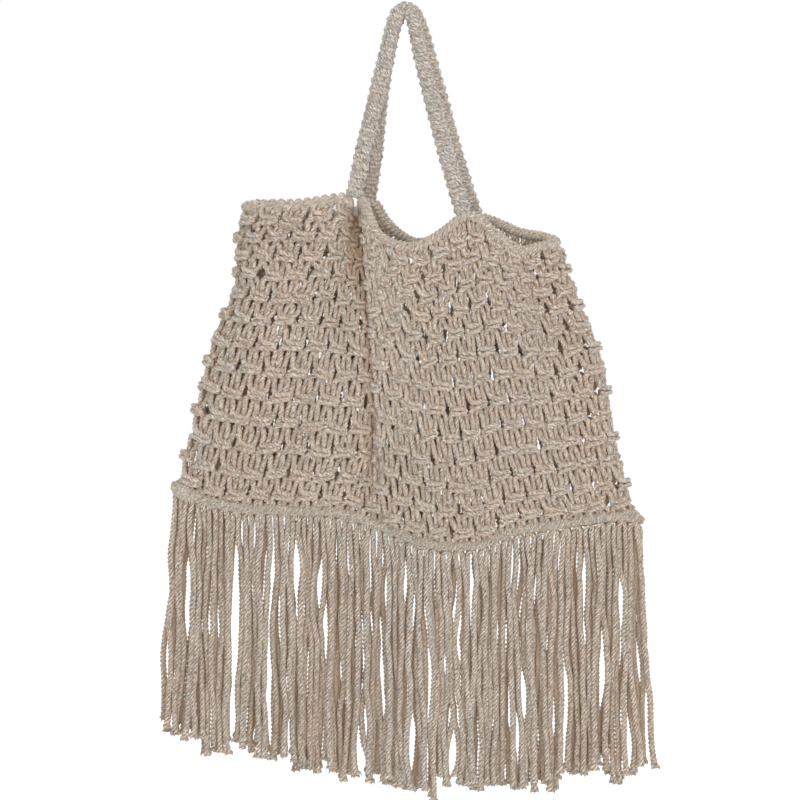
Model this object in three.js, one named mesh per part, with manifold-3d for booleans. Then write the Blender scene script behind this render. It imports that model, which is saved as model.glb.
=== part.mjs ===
// Macrame bag: a net of knotted cotton cord on a looped rim, with two flat knotted handles,
// a hitched bar along the bottom of each face and a long fringe of cord ends.
// Millimetres, +Z up. The front of the bag faces -Y. The origin is the point inside the top of
// the handles where the bag hangs.

import * as THREE from 'three';
import { mergeVertices } from 'three/addons/utils/BufferGeometryUtils.js';
import Module from 'manifold-3d';

const wasm = await Module();
wasm.setup();

// Clearance between neighbouring pieces, and of the net from the rim and from the bars
const clearance = 0.3;
const rimClearance = 0.8;
const barClearance = 1.05;

// The net: square knots across one face, counted round the bag from its left side fold
const net = {
  knotsAcross: 20,
  thickness: 7,
  belly: 13,          // how far each face swells between the rim and the bars
  cellsPerKnot: 2,
  gapEvery: 4,        // cells from one gap to the next in a band
  sideFold: 0.7,      // knots over which a face turns round the side fold at the bottom
  sideReach: 1,       // knots from the side fold over which a face stays on its own side of it
  footInset: 0.5,     // knots by which the bars' ends stand out past the net
};

// Bands of gaps down the net: the fall is 0 at the rim and 1 at the bottom bars
const gapBands = [
  { fall: 0.135, height: 0.030 },
  { fall: 0.245, height: 0.038 },
  { fall: 0.390, height: 0.046 },
  { fall: 0.550, height: 0.048 },
  { fall: 0.710, height: 0.048 },
  { fall: 0.865, height: 0.048 },
];

const cordSides = 6;
const rim = { diameter: 8.4 };
const bar = { diameter: 8.6, spacing: 9.2, endDraw: 0.7, backReach: 5, backDrop: 6 };
const handle = {
  width: 13.6,
  topWidth: 11.6,
  topShare: 0.2,      // share of the length over which it narrows towards the top
  thickness: 6.4,
  faceShare: 0.6,     // flat middle of the section, as a share of the width
  knotLength: 8.6,
  waist: 0.84,        // width between two knots
};
const fringe = {
  locks: 24,
  thickness: 6,
  headHeight: 5,
  fill: 0.86,         // share of the width that the locks take
  tipShare: 0.9,      // width of a lock's tip against its top
  steps: 4,
  ragged: 5,          // unevenness of the lower edge
  swayAcross: 2.5,
  swayOut: 5,
};

// Where the side folds bow to the right of a straight line from the rim to the bars
const sideBows = [
  { knot: 0, bow: 11, fall: 0.26, reach: 0.14, spread: 6 },
  { knot: 20, bow: 9, fall: 0.4, reach: 0.25, spread: 6 },
];

// The rim round the mouth: front from left to right, then the back from right to left
const rimTurns = [
  { name: 'left side', knot: 0, x: -132, y: 0, z: -159 },
  { name: 'left front corner', knot: 0.9, x: -122, y: -14, z: -157 },
  { name: 'left front', knot: 2.7, x: -89, y: -22, z: -156 },
  { name: 'outside left handle', knot: 5, x: -49.5, y: -14, z: -151.5 },
  { name: 'pleat, left corner', knot: 6.6, x: -46, y: 10, z: -158.5 },
  { name: 'pleat, right corner', knot: 8, x: -34, y: 12, z: -160 },
  { name: 'inside left handle', knot: 9.4, x: -34, y: -18, z: -153.5 },
  { name: 'down into the dip', knot: 11, x: -19, y: -26, z: -183 },
  { name: 'dip', knot: 12.8, x: 10, y: -28, z: -190.5 },
  { name: 'up from the dip', knot: 14.5, x: 34, y: -27, z: -177.5 },
  { name: 'right handle', knot: 15.9, x: 53, y: -24, z: -164 },
  { name: 'right slope', knot: 17.2, x: 77.5, y: -21, z: -181 },
  { name: 'right hollow', knot: 18.4, x: 99.5, y: -11, z: -195 },
  { name: 'right front corner', knot: 19.3, x: 117, y: -9, z: -191 },
  { name: 'right side', knot: 20, x: 128, y: 0, z: -189 },
  { name: 'right back corner', knot: 21, x: 121.5, y: 15, z: -186 },
  { name: 'right back', knot: 23, x: 99, y: 26, z: -182 },
  { name: 'right handle, back', knot: 25, x: 61, y: 26, z: -169 },
  { name: 'into the back dip', knot: 26.8, x: 35, y: 29, z: -183.5 },
  { name: 'back dip', knot: 28.6, x: 9, y: 30, z: -192 },
  { name: 'out of the back dip', knot: 30.4, x: -15.5, y: 29, z: -176.5 },
  { name: 'left handle, back', knot: 31.8, x: -30, y: 27, z: -156.5 },
  { name: 'left back hollow', knot: 34.2, x: -63, y: 25, z: -159 },
  { name: 'left back', knot: 37, x: -97, y: 24, z: -160 },
  { name: 'left back corner', knot: 39.1, x: -124, y: 14, z: -159.5 },
];

// The line between the two bottom bars, from left to right
const barTurns = [
  { knot: 0, x: -197, y: 1, z: -396 },
  { knot: 1.2, x: -174, y: -2, z: -406 },
  { knot: 2.9, x: -140, y: -4, z: -413.5 },
  { knot: 5, x: -97, y: -4, z: -415.5 },
  { knot: 7.2, x: -54.5, y: 4, z: -419.5 },
  { knot: 8.9, x: -20.5, y: 2, z: -429.5 },
  { knot: 10.6, x: 13.5, y: -10, z: -441.5 },
  { knot: 11.9, x: 39, y: -14, z: -445 },
  { knot: 13.1, x: 64.5, y: -10, z: -444 },
  { knot: 14.4, x: 90.5, y: -4, z: -434.5 },
  { knot: 16.5, x: 133, y: 0, z: -428.5 },
  { knot: 18.7, x: 176, y: 2, z: -422.5 },
  { knot: 20, x: 200, y: 4, z: -421.5 },
];

// The lower edge of the fringe, from left to right
const hemTurns = [
  { knot: 0, x: -210, y: 0, z: -612 },
  { knot: 1.6, x: -170, y: -3, z: -622 },
  { knot: 3.7, x: -128, y: -5, z: -631 },
  { knot: 5.4, x: -89, y: -5, z: -642 },
  { knot: 7.6, x: -46, y: 2, z: -651 },
  { knot: 10.6, x: 14, y: -9, z: -659 },
  { knot: 12.9, x: 61, y: -9, z: -659 },
  { knot: 15.8, x: 121, y: -1, z: -656 },
  { knot: 18, x: 165, y: 2, z: -647 },
  { knot: 20, x: 211, y: 4, z: -646 },
];

// The middle line of each handle, from its left seat on the rim over the top to its right seat
const frontHandleTurns = [
  { x: -42, y: -16, z: -149.5 },
  { x: -33, y: -13, z: -107 },
  { x: -23.7, y: -10, z: -69 },
  { x: -14.3, y: -6, z: -29 },
  { x: -7.6, y: -4, z: -2.5 },
  { x: -2.8, y: -3.6, z: 5.6 },
  { x: 3.6, y: -3.6, z: 5.6 },
  { x: 7.4, y: -4, z: -2.5 },
  { x: 13, y: -6, z: -27.5 },
  { x: 23.5, y: -11, z: -69 },
  { x: 35.5, y: -17, z: -114.5 },
  { x: 49.5, y: -23.6, z: -162.5 },
];
const backHandleTurns = [
  { x: -31, y: 27, z: -155 },
  { x: -23.5, y: 21, z: -110 },
  { x: -17.5, y: 15, z: -69 },
  { x: -11, y: 8, z: -29 },
  { x: -3.8, y: 4, z: -2.5 },
  { x: 1.2, y: 3.6, z: 5.6 },
  { x: 7.6, y: 3.6, z: 5.2 },
  { x: 12.2, y: 4, z: -2.5 },
  { x: 19.3, y: 8, z: -27.5 },
  { x: 30.5, y: 14, z: -69 },
  { x: 43.5, y: 20, z: -116 },
  { x: 60, y: 26, z: -167.5 },
];

const cotton = new THREE.MeshStandardMaterial({ color: '#bfb19b', roughness: 0.95, metalness: 0 });
const rimCotton = new THREE.MeshStandardMaterial({ color: '#baab94', roughness: 0.95, metalness: 0 });
const fringeCotton = new THREE.MeshStandardMaterial({ color: '#c4b6a0', roughness: 0.95, metalness: 0 });

// A smooth line through a table of turns, read by knot. A period closes it into a ring.
function lineThrough(turns, period = 0) {
  const count = turns.length;
  const wrapped = (i) => ((i % count) + count) % count;
  const place = (i) => (period ? wrapped(i) : Math.min(Math.max(i, 0), count - 1));
  const knotOf = (i) => turns[place(i)].knot + (period ? Math.floor(i / count) * period : 0);
  const pointOf = (i) => new THREE.Vector3(turns[place(i)].x, turns[place(i)].y, turns[place(i)].z);
  const rise = (i) => pointOf(i + 1).sub(pointOf(i)).divideScalar(knotOf(i + 1) - knotOf(i) || 1);
  const slope = (i) => {
    if (!period && i === 0) return rise(0);
    if (!period && i === count - 1) return rise(count - 2);
    const before = knotOf(i) - knotOf(i - 1);
    const after = knotOf(i + 1) - knotOf(i);
    return rise(i - 1).multiplyScalar(after).addScaledVector(rise(i), before).divideScalar(before + after);
  };
  return (knot) => {
    const last = period ? count - 1 : count - 2;
    let i = 0;
    while (i < last && knot >= knotOf(i + 1)) i += 1;
    const span = knotOf(i + 1) - knotOf(i);
    const t = (knot - knotOf(i)) / span;
    return pointOf(i)
      .multiplyScalar((1 + 2 * t) * (1 - t) ** 2)
      .addScaledVector(slope(i), span * t * (1 - t) ** 2)
      .addScaledVector(pointOf(i + 1), t * t * (3 - 2 * t))
      .addScaledVector(slope(i + 1), span * t * t * (t - 1));
  };
}

const knotsRound = 2 * net.knotsAcross;
const rimLine = lineThrough(rimTurns, knotsRound);
const barLine = lineThrough(barTurns);
const hemLine = lineThrough(hemTurns);

// How far to either side a direction is measured
const probe = { knots: 0.05, fall: 0.02 };

// Front faces -Y and back +Y; across runs from the left side fold to the right one on both
const facing = (knot) => (knot <= net.knotsAcross ? -1 : 1);
const across = (knot) => (knot <= net.knotsAcross ? knot : knotsRound - knot);

// The middle of the front or back bar. The back one reaches lower and further at its right end.
function barPoint(column, side, apart = 1) {
  const point = barLine(column);
  point.y += side * apart * bar.spacing / 2;
  if (side > 0) {
    const nearEnd = apart * (column / net.knotsAcross) ** 8;
    point.x += bar.backReach * nearEnd;
    point.z -= bar.backDrop * nearEnd;
  }
  return point;
}

// The direction in which a bar runs
function barAlong(column, side) {
  const ahead = barPoint(Math.min(column + probe.knots, net.knotsAcross), side);
  return ahead.sub(barPoint(Math.max(column - probe.knots, 0), side)).normalize();
}

// The middle of the net's wall, worked from the rim down to the bars
function netPoint(anyKnot, fall) {
  const knot = (anyKnot + knotsRound) % knotsRound;
  const column = across(knot);
  const toSide = Math.min(column, net.knotsAcross - column);
  const turned = Math.sin(Math.min(toSide / net.sideFold, 1) * Math.PI / 2);
  const foot = barPoint(THREE.MathUtils.mapLinear(
    column, 0, net.knotsAcross, net.footInset, net.knotsAcross - net.footInset), facing(knot), turned);
  const point = rimLine(knot).lerp(foot, fall);
  const slack = Math.sin(Math.PI * fall);
  point.y += facing(knot) * net.belly * slack * Math.sin(Math.PI * column / net.knotsAcross);
  for (const side of sideBows) {
    const near = Math.max(1 - Math.abs(column - side.knot) / side.spread, 0) ** 2;
    point.x += side.bow * slack * near * Math.exp(-(((fall - side.fall) / side.reach) ** 2));
  }
  return point;
}

// Directions on the net's wall: along a row, down towards the bars, and out of the bag
function netFrame(knot, fall) {
  const along = netPoint(knot + probe.knots, fall).sub(netPoint(knot - probe.knots, fall)).normalize();
  const below = netPoint(knot, Math.min(fall + probe.fall, 1));
  const down = below.sub(netPoint(knot, Math.max(fall - probe.fall, 0)));
  const out = down.clone().cross(along).normalize();
  return { along, down: along.clone().cross(out), out };
}

function meshFrom(points, triangles) {
  const geometry = new THREE.BufferGeometry();
  geometry.setAttribute('position', new THREE.Float32BufferAttribute(points.flatMap((p) => p.toArray()), 3));
  geometry.setIndex(triangles);
  return geometry;
}

// A body through rings of points, joined end to end or closed with a flat cap at each end
function loft(rings, closed = false) {
  const sides = rings[0].length;
  const triangles = [];
  const spans = closed ? rings.length : rings.length - 1;
  for (let r = 0; r < spans; r += 1) {
    const here = r * sides;
    const next = ((r + 1) % rings.length) * sides;
    for (let s = 0; s < sides; s += 1) {
      const t = (s + 1) % sides;
      triangles.push(here + s, here + t, next + s, here + t, next + t, next + s);
    }
  }
  if (!closed) {
    const end = (rings.length - 1) * sides;
    for (let s = 1; s + 1 < sides; s += 1) {
      triangles.push(0, s + 1, s);
      triangles.push(end, end + s, end + s + 1);
    }
  }
  return meshFrom(rings.flat(), triangles);
}

// A round section across a cord, with a flat side turned along first
function roundSection(middle, first, second, radius, sides) {
  const ring = [];
  for (let s = 0; s < sides; s += 1) {
    const angle = 2 * Math.PI * (s + 0.5) / sides;
    ring.push(middle.clone()
      .addScaledVector(first, radius * Math.cos(angle))
      .addScaledVector(second, radius * Math.sin(angle)));
  }
  return ring;
}

// A wall of cells between an outer and an inner layer of points, open where a cell isn't filled
function wall(columns, rows, pointAt, filled) {
  const points = [];
  for (const layer of [1, -1]) {
    for (let c = 0; c <= columns; c += 1) {
      for (let r = 0; r <= rows; r += 1) points.push(pointAt(c, r, layer));
    }
  }
  const outer = (c, r) => c * (rows + 1) + r;
  const inner = (c, r) => (columns + 1) * (rows + 1) + outer(c, r);
  const isFilled = (c, r) => c >= 0 && r >= 0 && c < columns && r < rows && filled(c, r);
  const triangles = [];
  const quad = (a, b, c, d) => triangles.push(a, b, c, a, c, d);
  for (let c = 0; c < columns; c += 1) {
    for (let r = 0; r < rows; r += 1) {
      if (!isFilled(c, r)) continue;
      quad(outer(c, r), outer(c, r + 1), outer(c + 1, r + 1), outer(c + 1, r));
      quad(inner(c, r), inner(c + 1, r), inner(c + 1, r + 1), inner(c, r + 1));
      if (!isFilled(c - 1, r)) quad(outer(c, r), inner(c, r), inner(c, r + 1), outer(c, r + 1));
      if (!isFilled(c + 1, r)) quad(outer(c + 1, r), outer(c + 1, r + 1), inner(c + 1, r + 1), inner(c + 1, r));
      if (!isFilled(c, r - 1)) quad(outer(c, r), outer(c + 1, r), inner(c + 1, r), inner(c, r));
      if (!isFilled(c, r + 1)) quad(outer(c, r + 1), inner(c, r + 1), inner(c + 1, r + 1), outer(c + 1, r + 1));
    }
  }
  const shape = meshFrom(points, triangles);
  return mergeVertices(shape.toNonIndexed(), 1e-4);
}

function toSolid(geometry) {
  const bare = geometry.clone();
  bare.deleteAttribute('normal');
  bare.deleteAttribute('uv');
  const merged = mergeVertices(bare, 1e-4);
  const vertProperties = new Float32Array(merged.attributes.position.array);
  const triVerts = new Uint32Array(merged.index.array);
  return new wasm.Manifold(new wasm.Mesh({ numProp: 3, vertProperties, triVerts }));
}

function fromSolid(solid) {
  const { vertProperties, triVerts } = solid.getMesh();
  const geometry = new THREE.BufferGeometry();
  geometry.setAttribute('position', new THREE.BufferAttribute(vertProperties, 3));
  geometry.setIndex(new THREE.BufferAttribute(triVerts, 1));
  return geometry;
}

// The rim is a closed ring of cord that follows the top of the net
function rimRing(extra = 0) {
  const rings = [];
  for (let i = 0; i < knotsRound * net.cellsPerKnot; i += 1) {
    const knot = i / net.cellsPerKnot;
    const { down, out } = netFrame(knot, 0);
    rings.push(roundSection(rimLine(knot), down, out.negate(), rim.diameter / 2 + extra, cordSides));
  }
  return loft(rings, true);
}

// A bar is a round cord whose ends are drawn in
function bottomBar(side) {
  const rings = [];
  const segments = net.knotsAcross * net.cellsPerKnot;
  for (let i = 0; i <= segments; i += 1) {
    const column = i / net.cellsPerKnot;
    const along = barAlong(column, side);
    const up = along.clone().cross(new THREE.Vector3(0, 1, 0)).normalize();
    const out = along.clone().cross(up);
    const atEnd = i === 0 || i === segments;
    const radius = bar.diameter / 2 * (atEnd ? bar.endDraw : 1);
    rings.push(roundSection(barPoint(column, side), up, out, radius, cordSides));
  }
  return loft(rings);
}

// One face of the net, with bands of gaps, from just under the rim to just above its bar
function netFace(firstKnot, side) {
  const columns = net.knotsAcross * net.cellsPerKnot;
  const falls = [0];
  for (const band of gapBands) falls.push(band.fall - band.height / 2, band.fall + band.height / 2);
  falls.push(1);
  const rows = falls.length - 1;
  const flat = Math.cos(Math.PI / cordSides) / 2;
  const pointAt = (c, r, layer) => {
    const knot = firstKnot + c / net.cellsPerKnot;
    const { down, out } = netFrame(knot, falls[r]);
    const point = netPoint(knot, falls[r]).addScaledVector(out, layer * net.thickness / 2);
    if (r === 0) point.addScaledVector(down, rim.diameter * flat + rimClearance);
    if (r === rows) point.addScaledVector(down, -bar.diameter * flat - barClearance);
    const toSide = Math.min(c, columns - c) / net.cellsPerKnot;
    if (toSide < net.sideReach) {
      const foldDepth = netPoint(c < columns / 2 ? firstKnot : firstKnot + net.knotsAcross, falls[r]).y;
      point.y = side * Math.max(side * (point.y - foldDepth), clearance / 2) + foldDepth;
    }
    return point;
  };
  const filled = (c, r) => {
    const band = (r - 1) / 2;
    if (!Number.isInteger(band)) return true;
    return (c + (band % 2) * net.gapEvery / 2) % net.gapEvery !== 1;
  };
  return wall(columns, rows, pointAt, filled);
}

// A handle is a flat strap of knots with scalloped edges, seated on the rim at both ends
function handleStrap(turns) {
  const path = new THREE.CatmullRomCurve3(turns.map((turn) => new THREE.Vector3(turn.x, turn.y, turn.z)));
  path.arcLengthDivisions = 800;
  const knots = Math.round(path.getLength() / handle.knotLength);
  const face = handle.faceShare;
  const corners = [[1, 0], [face, 1], [-face, 1], [-1, 0], [-face, -1], [face, -1]];
  const rings = [];
  for (let i = 0; i <= 2 * knots; i += 1) {
    const t = i / (2 * knots);
    const middle = path.getPointAt(t);
    const along = path.getTangentAt(t);
    const wide = along.clone().cross(new THREE.Vector3(0, 1, 0)).normalize();
    const thick = along.clone().cross(wide).normalize();
    const nearTop = 1 - Math.min(Math.abs(t - 0.5) / handle.topShare, 1);
    const scallop = i % 2 ? 1 : handle.waist;
    const halfWidth = scallop * THREE.MathUtils.lerp(handle.width, handle.topWidth, nearTop) / 2;
    rings.push(corners.map(([w, h]) => middle.clone()
      .addScaledVector(wide, w * halfWidth)
      .addScaledVector(thick, h * handle.thickness / 2)));
  }
  return fromSolid(toSolid(loft(rings)).subtract(toSolid(rimRing(clearance))));
}

// A repeatable unevenness between -1 and 1
const uneven = (n) => Math.sin(n * 12.9898) * Math.cos(n * 4.1414);

// The fringe of one face: locks of cord ends that part below a head under the bar
function fringeLocks(side) {
  const drop = bar.diameter / 2 + clearance;
  const rows = fringe.steps + 1;
  const lockWidth = net.knotsAcross / fringe.locks;
  const pointAt = (c, r, layer) => {
    const lock = Math.floor(c / 2);
    const seed = lock + (side + 1) * 50;
    const middleColumn = (lock + 0.5) * lockWidth;
    const edge = (c % 2 ? 1 : -1) * lockWidth * fringe.fill / 2;
    const along = barAlong(middleColumn + edge, side);
    const under = new THREE.Vector3(along.z, 0, -along.x).normalize();
    const top = barPoint(middleColumn + edge, side).addScaledVector(under, drop);
    const head = top.clone().addScaledVector(under, fringe.headHeight);
    const tip = hemLine(middleColumn).lerp(hemLine(middleColumn + edge), fringe.tipShare);
    tip.y += side * bar.spacing / 2;
    tip.z = hemLine(middleColumn).z + fringe.ragged * uneven(seed + 1);
    const t = Math.max(r - 1, 0) / fringe.steps;
    const point = r === 0 ? top : head.lerp(tip, t);
    point.x += fringe.swayAcross * uneven(seed + 7) * Math.sin(Math.PI * t * 1.5);
    point.y += side * fringe.swayOut * (0.6 + 0.4 * uneven(seed + 3)) * Math.sin(Math.PI * t);
    point.y -= layer * fringe.thickness / 2;
    return point;
  };
  const filled = (c, r) => r === 0 || c % 2 === 0;
  return wall(2 * fringe.locks - 1, rows, pointAt, filled);
}

function piece(name, geometry, material) {
  const mesh = new THREE.Mesh(geometry, material);
  mesh.name = name;
  return mesh;
}

const bag = new THREE.Group();
bag.add(
  piece('net_front', netFace(0, -1), cotton),
  piece('net_back', netFace(net.knotsAcross, 1), cotton),
  piece('rim_cord', rimRing(), rimCotton),
  piece('handle_front', handleStrap(frontHandleTurns), rimCotton),
  piece('handle_back', handleStrap(backHandleTurns), rimCotton),
  piece('bottom_bar_front', bottomBar(-1), rimCotton),
  piece('bottom_bar_back', bottomBar(1), rimCotton),
  piece('fringe_front', fringeLocks(-1), fringeCotton),
  piece('fringe_back', fringeLocks(1), fringeCotton),
);

export default bag;
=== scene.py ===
import math

import bpy
import numpy as np
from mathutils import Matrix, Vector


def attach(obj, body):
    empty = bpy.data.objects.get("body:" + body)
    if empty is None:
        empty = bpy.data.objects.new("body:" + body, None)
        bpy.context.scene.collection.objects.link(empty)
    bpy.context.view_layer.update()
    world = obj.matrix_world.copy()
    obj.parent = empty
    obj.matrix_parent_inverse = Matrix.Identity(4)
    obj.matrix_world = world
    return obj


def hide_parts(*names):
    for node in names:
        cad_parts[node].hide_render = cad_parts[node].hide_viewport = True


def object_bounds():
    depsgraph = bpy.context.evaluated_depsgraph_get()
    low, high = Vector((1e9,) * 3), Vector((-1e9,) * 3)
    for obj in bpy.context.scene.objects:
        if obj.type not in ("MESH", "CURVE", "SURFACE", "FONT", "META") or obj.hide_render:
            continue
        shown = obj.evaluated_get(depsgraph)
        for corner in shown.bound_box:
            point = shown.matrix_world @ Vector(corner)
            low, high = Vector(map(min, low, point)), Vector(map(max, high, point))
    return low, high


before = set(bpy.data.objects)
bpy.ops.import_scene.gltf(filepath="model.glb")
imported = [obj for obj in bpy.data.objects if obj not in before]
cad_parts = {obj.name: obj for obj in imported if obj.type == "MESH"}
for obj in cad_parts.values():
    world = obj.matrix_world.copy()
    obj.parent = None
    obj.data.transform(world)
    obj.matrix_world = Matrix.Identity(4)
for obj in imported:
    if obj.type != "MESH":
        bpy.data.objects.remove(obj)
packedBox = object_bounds()
mm = 0.001  # everything below is worked in millimetres

# Lines of the bag. Columns: knot, x, y, z. Knots are counted round the bag from its left side fold.
rimTurns = [
    (0, -132, 0, -159), (0.85, -122, -14, -157), (2.55, -89, -22, -156), (4.5, -49.5, -14, -151.5),
    (5.9, -46, 9, -162), (7.6, -35, 10, -163.5), (9.2, -34, -18, -153.5), (10.95, -19, -26, -183),
    (12.5, 10, -28, -190.5), (13.9, 34, -27, -177.5), (15.15, 53, -24, -164), (16.7, 77.5, -21, -181),
    (18.2, 99.5, -11, -195), (19.15, 117, -9, -191), (20, 128, 0, -189), (21, 121.5, 15, -186),
    (23, 99, 26, -182), (25, 61, 26, -169), (26.8, 35, 29, -183.5), (28.6, 10.5, 30, -191),
    (30.4, -13, 29, -175.5), (31.8, -28.5, 27, -155.5), (33, -46, 26, -168), (34.6, -68, 25, -164),
    (37, -97, 24, -162), (39.1, -124, 14, -159.5),
]
barTurns = [
    (0, -197, 1, -396), (1.2, -174, -2, -406), (2.9, -140, -4, -413.5), (5, -97, -4, -415.5),
    (7.2, -54.5, 4, -419.5), (8.9, -20.5, 2, -429.5), (10.6, 13.5, -10, -441.5), (11.9, 39, -14, -445),
    (13.1, 64.5, -10, -444), (14.4, 90.5, -4, -434.5), (16.5, 133, 0, -428.5), (18.7, 176, 2, -422.5),
    (20, 200, 4, -421.5),
]
hemTurns = [
    (0, -210, 0, -612), (1.6, -170, -3, -622), (3.7, -128, -5, -631), (5.4, -89, -5, -642),
    (7.6, -46, 2, -651), (10.6, 14, -9, -659), (12.9, 61, -9, -659), (15.8, 121, -1, -656),
    (18, 165, 2, -647), (20, 211, 4, -646),
]


def unit(v):
    return v / np.maximum(np.linalg.norm(v, axis=-1, keepdims=True), 1e-9)


# A smooth line through rows of (place, values...), closed into a ring by a period
def lineThrough(rows, period=0):
    rows = np.array(rows, float)
    if period:
        before, after = rows[-2:].copy(), rows[:3].copy()
        before[:, 0] -= period
        after[:, 0] += period
        rows = np.vstack([before, rows, after])
    places, values = rows[:, 0], rows[:, 1:]
    step = np.diff(places)[:, None]
    rise = np.diff(values, axis=0) / step
    middle = (rise[:-1] * step[1:] + rise[1:] * step[:-1]) / (step[1:] + step[:-1])
    slope = np.vstack([rise[:1], middle, rise[-1:]])

    def at(place):
        place = np.asarray(place, float)
        if period:
            place = np.mod(place, period)
        i = np.clip(np.searchsorted(places, place, "right") - 1, 0, len(places) - 2)
        span = step[i]
        t = ((place - places[i]) / span[..., 0])[..., None]
        return (values[i] * (1 + 2 * t) * (1 - t) ** 2 + slope[i] * span * t * (1 - t) ** 2
                + values[i + 1] * t * t * (3 - 2 * t) + slope[i + 1] * span * t * t * (t - 1))

    return at


# Samples of a smooth curve through bare points, closer together where the points are
def curveThrough(points, perSpan):
    points = np.asarray(points, float)
    chord = np.linalg.norm(np.diff(points, axis=0), axis=1)
    places = np.concatenate([[0], np.cumsum(np.sqrt(chord + 1e-6))])
    fine = np.interp(np.arange((len(points) - 1) * perSpan + 1) / perSpan, np.arange(len(points)), places)
    return lineThrough(np.column_stack([places, points]))(fine)


# The wall of the net
net = {
    "knotsAcross": 20, "belly": 13, "sideFold": 0.7, "footInset": 0.2,
    "barSpacing": 9.2,
    "backReach": 5, "backDrop": 6, "backBend": 8,  # the back bar bends away at its right end
    # knot, bow, fall, reach, spread
    "sideBows": [(0, 11, 0.26, 0.14, 6), (20, 9, 0.4, 0.25, 6)],
    # where the net tucks in behind the left handle. Columns: knot, mm across and mm back at half its fall
    "tuck": [(0, 0, 0), (3.5, 0, 0), (4.3, 0, 0), (5.9, 11, -12), (7.3, 18.5, -6), (8.2, 12, 10),
             (9.1, 2, 0), (10, 5, 0), (11, 7, 0), (12.5, 4, 0), (15, 0, 0), (16, 0, 0), (40, 0, 0)],
    # height of the rim with the peaks at the handles left out. The rows follow it. Columns: knot, z
    "level": [(0, -159), (2.5, -157), (4.5, -157), (6, -162), (7.6, -164), (9.2, -166), (10.95, -183),
              (12.5, -190), (13.9, -190), (15.15, -190), (16.7, -191), (18.2, -193), (19.15, -191),
              (20, -189), (21, -186), (23, -185), (25, -186), (26.8, -188), (28.6, -190), (30.4, -178),
              (31.8, -166), (33, -167), (34.6, -164), (37, -162), (39.1, -159.5)],
    "peakFade": 4,  # how soon the peaks are gone below the rim
}
knotsRound = 2 * net["knotsAcross"]
cordsPerKnot = 4
rimLine = lineThrough(rimTurns, knotsRound)
barLine = lineThrough(barTurns)
hemLine = lineThrough(hemTurns)
tuckLine = lineThrough(net["tuck"])
levelLine = lineThrough(net["level"], knotsRound)


def barPoint(column, side, apart=1.0):
    point = barLine(column)
    point[..., 1] += side * apart * net["barSpacing"] / 2
    share = np.maximum(column, 0) / net["knotsAcross"]
    nearEnd = np.where(np.asarray(side) > 0, apart * share ** net["backBend"], 0)
    point[..., 0] += net["backReach"] * nearEnd
    point[..., 2] -= net["backDrop"] * nearEnd
    return point


def netPoint(knot, fall):
    knot, fall = np.broadcast_arrays(np.mod(knot, knotsRound), fall)
    across = net["knotsAcross"]
    front = knot <= across
    column = np.where(front, knot, knotsRound - knot)
    side = np.where(front, -1.0, 1.0)
    toSide = np.minimum(column, across - column)
    turned = np.sin(np.minimum(toSide / net["sideFold"], 1) * math.pi / 2)
    inset = net["footInset"]
    foot = barPoint(inset + column / across * (across - 2 * inset), side, turned)
    top = rimLine(knot)
    point = top * (1 - fall)[..., None] + foot * fall[..., None]
    above = np.clip(1 - fall, 0, 1)
    point[..., 2] += (levelLine(knot)[..., 0] - top[..., 2]) * (above - above ** net["peakFade"])
    point[..., :2] += tuckLine(knot) * (4 * fall * (1 - fall))[..., None]
    slack = np.sin(math.pi * np.clip(fall, 0, 1))
    point[..., 1] += side * net["belly"] * slack * np.sin(math.pi * column / across)
    for bowKnot, bow, bowFall, reach, spread in net["sideBows"]:
        near = np.maximum(1 - np.abs(column - bowKnot) / spread, 0) ** 2
        point[..., 0] += bow * slack * near * np.exp(-(((fall - bowFall) / reach) ** 2))
    return point


# Directions on the net: along a row, down, and out of the bag
def netFrame(knot, fall, aside=0.3, lower=0.02):
    knot, fall = np.broadcast_arrays(np.asarray(knot, float), np.asarray(fall, float))
    along = unit(netPoint(knot + aside, fall) - netPoint(knot - aside, fall))
    down = netPoint(knot, np.minimum(fall + lower, 1)) - netPoint(knot, np.maximum(fall - lower, 0))
    out = unit(np.cross(down, along))
    return along, np.cross(along, out), out


def onNet(knot, fall, out):
    return netPoint(knot, fall) + netFrame(knot, fall)[2] * np.asarray(out)[..., None]


# Points every step along a line. Columns of what comes back: x, y, z, radius.
def evenSteps(points, radius, step):
    radius, step = np.broadcast_to(radius, len(points)), np.broadcast_to(step, len(points))
    length = np.linalg.norm(np.diff(points, axis=0), axis=1)
    steps = np.concatenate([[0], np.cumsum(length / (0.5 * (step[1:] + step[:-1])))])
    count = max(int(round(steps[-1])), 2)
    at = np.linspace(0, steps[-1], count + 1)
    return np.column_stack([np.interp(at, steps, values) for values in (*points.T, radius)])


def lengthAlong(points):
    return np.concatenate([[0], np.cumsum(np.linalg.norm(np.diff(points, axis=0), axis=1))])


# A value between the rows of a table, whose first column is the place
def fromTable(table, place, column=1):
    table = np.asarray(table, float)
    return np.interp(place, table[:, 0], table[:, column])


cordLook = {
    "plies": 4, "lay": 16, "groove": 0.2, "crown": 0.04,  # lay is the length of one full turn of the plies
    "mostTurn": 1.1,  # radians from one ring of points to the next
    "steep": 0.8,  # a cord that starts this much along y is turned from x instead
    "evenTone": 0.25,  # pieces made of one long cord are dyed evenly
    # cut ends take part of the painted groove shade
    "endHeight": 0.4,  # a cut end is coloured between ply and groove
    "spaceRadius": 2.4, "spaceApart": 37.0,  # the fibres are drawn in a space where each cord lies straight
}


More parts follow.
